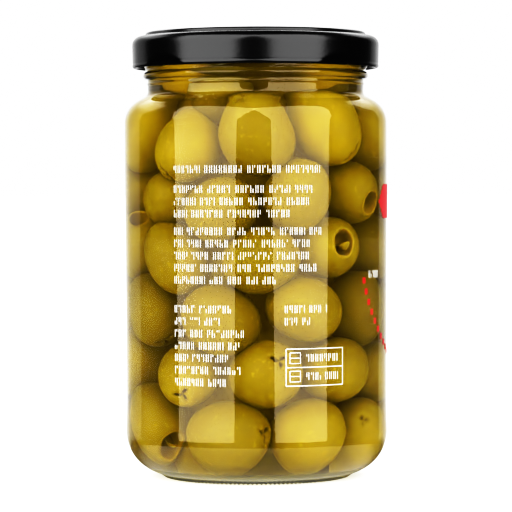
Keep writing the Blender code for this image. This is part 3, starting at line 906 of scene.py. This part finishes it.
# The plinth is the part of the floor that the heel mirrors; its glow is dimmed close round the jar and behind it
# as painted shadow
floor = {
    "half": 20.0, "near": (0.35, 0.35, 0.35), "far": (1.0, 1.0, 1.0), "paint": (0.9, 0.9, 0.9),
    "paleNear": 0.1, "paleFar": 0.5, "plinth": 0.06, "plinthShade": 0.03, "plinthGlow": 1.9, "plinthShadowGlow": 1.3,
    "behindFrom": -0.025, "behindTo": 0.01, "behindShadowDim": 0.95,
}


def makeCamera():
    data = bpy.data.cameras.new("camera")
    data.sensor_width = view["sensor"]
    data.lens = view["focalPixels"] / view["imagePixels"] * data.sensor_width
    data.clip_start, data.clip_end = 0.01, 100
    camera = bpy.data.objects.new("camera", data)
    bpy.context.scene.collection.objects.link(camera)
    eye = Vector((view["aimSide"], -view["distance"], view["eyeHeight"])) * mm
    aim = Vector((view["aimSide"], 0, view["aimHeight"])) * mm
    look = (aim - eye).to_track_quat("-Z", "Y").to_matrix().to_4x4()
    camera.matrix_world = Matrix.Translation(eye) @ look @ Matrix.Rotation(math.radians(view["roll"]), 4, "Z")
    bpy.context.scene.camera = camera


def makeSoftbox(name, azimuth, width):
    # A tall panel that leans in over the jar
    outward, right = (Vector(part) for part in outwardAndRight(np.array(math.radians(azimuth))))
    foot = outward * studio["boxNear"] + Vector((0, 0, studio["boxFoot"]))
    head = outward * studio["boxTopNear"] + Vector((0, 0, studio["boxTop"]))
    rise = (head - foot).normalized()
    data = bpy.data.lights.new(name, "AREA")
    data.shape = "RECTANGLE"
    data.size, data.size_y = width, (head - foot).length
    data.energy = studio["boxGlow"] * width
    light = bpy.data.objects.new(name, data)
    turn = Matrix((right, rise, right.cross(rise))).transposed().to_4x4()
    light.matrix_world = Matrix.Translation((foot + head) / 2) @ turn
    light.visible_camera = False
    bpy.context.scene.collection.objects.link(light)


def makeBounce():
    # The light that a white table sends up, from a lamp under it that no mirror or glass shows
    data = bpy.data.lights.new("tableBounce", "AREA")
    data.shape = "DISK"
    data.size = 2 * studio["bounceHalf"]
    data.energy = studio["bounceStrength"]
    light = bpy.data.objects.new("tableBounce", data)
    light.matrix_world = Matrix.Translation((0, 0, -studio["bounceDrop"])) @ Matrix.Rotation(math.pi, 4, "X")
    light.visible_camera = light.visible_glossy = light.visible_transmission = False
    bpy.context.scene.collection.objects.link(light)


def makeWorld():
    # White behind the jar, brighter and wider high up, dimmer away from its middle, and dark round the camera
    world = bpy.data.worlds.new("studio")
    bpy.context.scene.world = world
    shading = Shading(world)
    side, depth, rise = shading.along("Generated")
    level = side * side + depth * depth + 0.00001
    ahead = depth / level.math("SQRT", level)
    left, right, dim = (math.cos(math.radians(back[name])) for name in ("left", "right", "dim"))
    top, soft = math.sin(math.radians(back["top"])), back["soft"]
    high = rise.step(back["highFrom"], back["highTo"])
    edge = left + (right - left) * (side > 0.0) - back["spread"] * high
    upright = rise.step(back["lowFrom"], back["lowTo"]) * (1.0 - rise.step(top - soft, top + soft))
    dimmed = back["dimShare"] + (1 - back["dimShare"]) * ahead.step(dim, 1.0)
    behind = (ahead - edge).step(-soft, soft) * upright * dimmed
    behind = behind * (1.0 + (back["high"] - 1.0) * high)
    lit = shading.ray("Camera").most(behind)
    strength = back["dark"] + (back["white"] - back["dark"]) * lit
    shading.finish(shading.node("Background", {}, {"Color": (1.0, 1.0, 1.0), "Strength": strength}), "World")


def makeFloor():
    # An endless pale floor, of which mirrored light sees only the plinth, with painted shadow on it close round
    # the jar's foot and most of all behind the jar
    material, shading = newMaterial("paleFloor")
    side, depth, _ = shading.along()
    squared = side * side + depth * depth
    mirrored = (squared < floor["plinth"] ** 2) * shading.ray("Glossy")
    shown = shading.ray("Camera").most(shading.ray("Transmission")).most(mirrored)
    glow = shading.mix(squared.step(floor["paleNear"] ** 2, floor["paleFar"] ** 2), floor["near"], floor["far"])
    # Painted shadow: the plinth glows less close round the jar's foot, and much less behind the jar
    unshaded = squared.step(floor["plinthShade"] ** 2, floor["plinth"] ** 2)
    shadowBehindFactor = 1.0 - depth.step(floor["behindFrom"], floor["behindTo"]) * floor["behindShadowDim"]
    plinth = (floor["plinthShadowGlow"] + (floor["plinthGlow"] - floor["plinthShadowGlow"]) * unshaded) * shadowBehindFactor
    mirroredGlow = shading.node("CombineColor", {}, {0: plinth, 1: plinth, 2: plinth}).outputs[0]
    pale = shading.node("BsdfPrincipled", {}, {
        "Base Color": shading.mix(mirrored, floor["paint"], (0.0, 0.0, 0.0)), "Roughness": 0.9,
        "Emission Color": shading.mix(mirrored, glow, mirroredGlow), "Emission Strength": 1.0,
    })
    clear = shading.node("BsdfTransparent")
    shading.finish(shading.node("MixShader", {}, {0: shown, 1: clear.outputs[0], 2: pale.outputs[0]}))
    mesh = bpy.data.meshes.new("floor")
    half = floor["half"]
    corners = [(-half, -half, 0), (half, -half, 0), (half, half, 0), (-half, half, 0)]
    mesh.from_pydata(corners, [], [(0, 1, 2, 3)])
    mesh.materials.append(material)
    ground = bpy.data.objects.new("floor", mesh)
    bpy.context.scene.collection.objects.link(ground)


def gradeColours():
    # More contrast, as a camera gives
    scene = bpy.context.scene
    scene.use_nodes = True
    tree = scene.node_tree
    tree.nodes.clear()
    picture = tree.nodes.new("CompositorNodeRLayers")
    curves = tree.nodes.new("CompositorNodeCurveRGB")
    line = curves.mapping.curves[3].points
    for place, level in studio["contrast"]:
        line.new(place, level)
    curves.mapping.update()
    result = tree.nodes.new("CompositorNodeComposite")
    tree.links.new(picture.outputs["Image"], curves.inputs["Image"])
    tree.links.new(curves.outputs["Image"], result.inputs["Image"])


# The scene

makeCamera()
makeWorld()
makeSoftbox("softboxLeft", *studio["leftBox"])
makeSoftbox("softboxRight", *studio["rightBox"])
makeBounce()
makeFloor()
bpy.context.scene.view_settings.view_transform = "Standard"
gradeColours()

glassOutside = clearFinish("jarGlass", glass, glassShine)
glassInside = clearFinish("jarGlassInside", glass, noShine)
glassFoot = clearFinish("jarGlassFoot", shadedFootGlass, footShine)
makeJar(glassOutside, glassInside, glassFoot)
makeLid(lidFinish())
makeBrine(clearFinish("brine", brine, noShine, murk=brine))

centre, axis, length, width = settledOlives()
shown = len(shownOlives)
behindKinds = ("star", "dimple", "crease", "plain", "hole")
looseKinds = [behindKinds[each % len(behindKinds)] for each in range(heap["loose"])]
looseKinds = [kind if depth > 0 else "dimple" for kind, depth in zip(looseKinds, centre[shown:, 1])]
loosePale = [(each * heap["paleStep"]) % 1 for each in range(heap["loose"])]
skin = oliveFinish()
makeOlives("olivesShown", centre[:shown], axis[:shown], length[:shown], width[:shown],
           [row[7] for row in shownOlives], [row[8] for row in shownOlives],
           heap["shownSides"], skin, heap["lookSeed"])
makeOlives("olivesBehind", centre[shown:], axis[shown:], length[shown:], width[shown:],
           looseKinds, loosePale, heap["looseSides"], skin, heap["lookSeed"] + 1)
makeCore()
printPatches("labelBars", whitePrint(), printFinish("printWhite", printing["white"]), "print")
printPatches("labelEmblem", redPrint(), printFinish("printRed", printing["red"]), "print_red")
